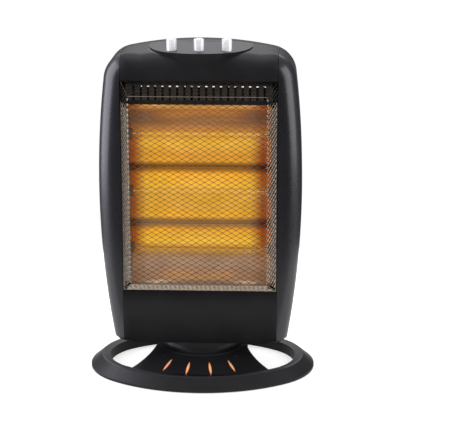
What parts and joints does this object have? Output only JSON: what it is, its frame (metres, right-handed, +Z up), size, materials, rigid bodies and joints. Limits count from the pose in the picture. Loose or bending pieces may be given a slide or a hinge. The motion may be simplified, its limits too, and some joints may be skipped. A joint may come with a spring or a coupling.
{
  "type": "halogen heater",
  "caption": "Upright oscillating halogen heater: black moulded body with a chrome expanded-metal guard over glowing lamps, push buttons on a top shelf, and an oval openwork base.",
  "frame": {"origin": "on the floor, on the swivel axis at the middle of the base", "axes": "+X to the right seen from the front, +Y to the rear (the guard faces -Y), +Z up"},
  "size_m": [0.31, 0.23, 0.4636],
  "materials": {
    "moulded_black": "fine moulded texture, satin",
    "gloss_black": "polished moulding",
    "base_black": "fine moulded texture, satin",
    "chrome_mesh": "bright plated expanded metal",
    "reflector_sheet": "rolled bright sheet, heat tinted",
    "zinc_steel": "zinc plated sheet and screws",
    "quartz": "clear fused quartz",
    "hot_coil": "glowing tungsten coil",
    "ceramic": "unglazed steatite",
    "silver_buttons": "metallised gloss",
    "switch_blue": "plain moulding",
    "microswitch_black": "plain moulding",
    "gland_rubber": "matte",
    "foot_rubber": "matte",
    "nylon": "natural nylon",
    "brass_parts": "turned or stamped",
    "orange_inserts": "translucent orange, satin"
  },
  "bodies": {
    "base": {"base_shell": "base_black", "base_insert_1": "orange_inserts", "base_insert_2": "orange_inserts", "base_insert_3": "orange_inserts", "base_insert_4": "orange_inserts", "ballast_plate": "zinc_steel", "slip_washer": "nylon", "swivel_post": "zinc_steel", "post_washer": "zinc_steel", "post_nut": "brass_parts", "anchor_arm": "zinc_steel", "base_screws": "zinc_steel", "foot_1": "foot_rubber", "foot_2": "foot_rubber", "foot_3": "foot_rubber", "foot_4": "foot_rubber"},
    "body": {"upper_fascia": "moulded_black", "lower_fascia": "moulded_black", "left_side_cover": "gloss_black", "right_side_cover": "gloss_black", "rear_cover": "moulded_black", "bottom_plate": "moulded_black", "guard_mesh": "chrome_mesh", "guard_clips": "zinc_steel", "reflector": "reflector_sheet", "reflector_end_left": "zinc_steel", "reflector_end_right": "zinc_steel", "heat_shield": "zinc_steel", "lamp_tube_1": "quartz", "lamp_tube_2": "quartz", "lamp_tube_3": "quartz", "filament_1": "hot_coil", "filament_2": "hot_coil", "filament_3": "hot_coil", "lamp_caps_1": "ceramic", "lamp_caps_2": "ceramic", "lamp_caps_3": "ceramic", "switch_1": "switch_blue", "switch_2": "switch_blue", "switch_3": "switch_blue", "switch_bracket": "zinc_steel", "thermal_cutout": "ceramic", "terminal_block": "ceramic", "cord_gland": "gland_rubber", "tilt_bracket": "zinc_steel", "tilt_pin": "zinc_steel", "tilt_microswitch": "microswitch_black", "swing_motor": "zinc_steel", "swivel_bush": "nylon", "rear_screws": "zinc_steel"},
    "button_1": {"button_1": "silver_buttons"},
    "button_2": {"button_2": "silver_buttons"},
    "button_3": {"button_3": "silver_buttons"},
    "pendulum": {"tilt_pendulum": "brass_parts"},
    "crank": {"motor_crank": "zinc_steel"},
    "link": {"drive_link": "brass_parts"}
  },
  "joints": [
    {"name": "body_swivel", "type": "hinge", "parent": "base", "child": "body", "pos_m": [0, 0, 0.05], "axis": [0, 0, 1], "range_deg": [-35, 35]},
    {"name": "crank_turn", "type": "hinge", "parent": "body", "child": "crank", "pos_m": [0.05, 0, 0.085], "axis": [0, 0, 1], "range_deg": [-60.1, 60.1]},
    {"name": "link_turn", "type": "hinge", "parent": "crank", "child": "link", "pos_m": [0.05, 0.0132, 0.085], "axis": [0, 0, 1], "range_deg": [-60.1, 60.1]},
    {"name": "button_1_press", "type": "slide", "parent": "body", "child": "button_1", "axis": [0, 0, -1], "range_m": [0, 0.003], "stiffness_N_per_m": 250},
    {"name": "button_2_press", "type": "slide", "parent": "body", "child": "button_2", "axis": [0, 0, -1], "range_m": [0, 0.003], "stiffness_N_per_m": 250},
    {"name": "button_3_press", "type": "slide", "parent": "body", "child": "button_3", "axis": [0, 0, -1], "range_m": [0, 0.003], "stiffness_N_per_m": 250},
    {"name": "tilt_swing", "type": "hinge", "parent": "body", "child": "pendulum", "pos_m": [-0.072, -0.006, 0.09], "axis": [1, 0, 0], "range_deg": [-15, 15]}
  ],
  "couplings": [
    {"joint": "crank_turn", "follows": "body_swivel", "ratio": -1.7143},
    {"joint": "link_turn", "follows": "body_swivel", "ratio": 1.7143}
  ]
}
